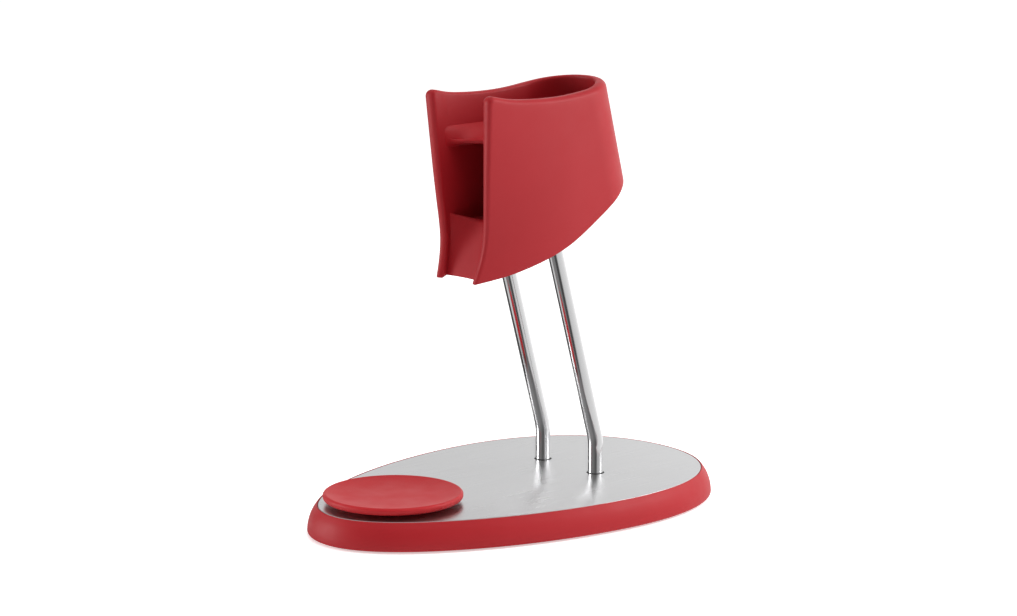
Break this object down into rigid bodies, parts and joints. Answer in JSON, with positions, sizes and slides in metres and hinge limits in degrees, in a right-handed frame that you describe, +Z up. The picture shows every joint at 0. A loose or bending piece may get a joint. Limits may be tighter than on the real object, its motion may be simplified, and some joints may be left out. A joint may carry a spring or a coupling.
{
  "type": "tool stand with drip dish",
  "caption": "Free-standing kitchen tool holder: egg-shaped weighted base, leaning steel rods, open-fronted soft cradle and a lift-off drip dish.",
  "frame": {"origin": "on the table, under the middle of the base", "axes": "+Z up, +Y towards the back where the rods stand, -Y towards the drip dish, +X towards the right rod"},
  "size_m": [0.1542, 0.2382, 0.221],
  "materials": {
    "brushed_steel": "fine lengthwise brushing",
    "polished_steel": "polished",
    "red_silicone": "matte, soft touch",
    "red_plastic": "matte",
    "ballast_steel": "black, matte",
    "black_rubber": "matte",
    "plain_steel": "zinc plated",
    "white_nylon": "natural nylon"
  },
  "bodies": {
    "stand": {"base_plate": "brushed_steel", "base_tray": "red_silicone", "base_pad": "black_rubber", "ballast_plate": "ballast_steel", "plate_bosses": "plain_steel", "plate_screws": "plain_steel", "rod_washers": "plain_steel", "rod_screws": "plain_steel", "rod_left": "polished_steel", "rod_right": "polished_steel", "rod_bush_left": "white_nylon", "rod_bush_right": "white_nylon", "rod_gasket_left": "black_rubber", "rod_gasket_right": "black_rubber", "dish_locator": "white_nylon", "locator_clip": "plain_steel", "cradle_shell": "red_silicone", "shoulder_seat": "red_plastic", "neck_saddle": "red_plastic", "rod_grub_screws": "plain_steel"},
    "dish": {"drip_dish": "red_silicone"}
  },
  "joints": [
    {"name": "dish_lift", "type": "slide", "parent": "stand", "child": "dish", "axis": [0, 0, 1], "range_m": [0, 0.04]}
  ]
}
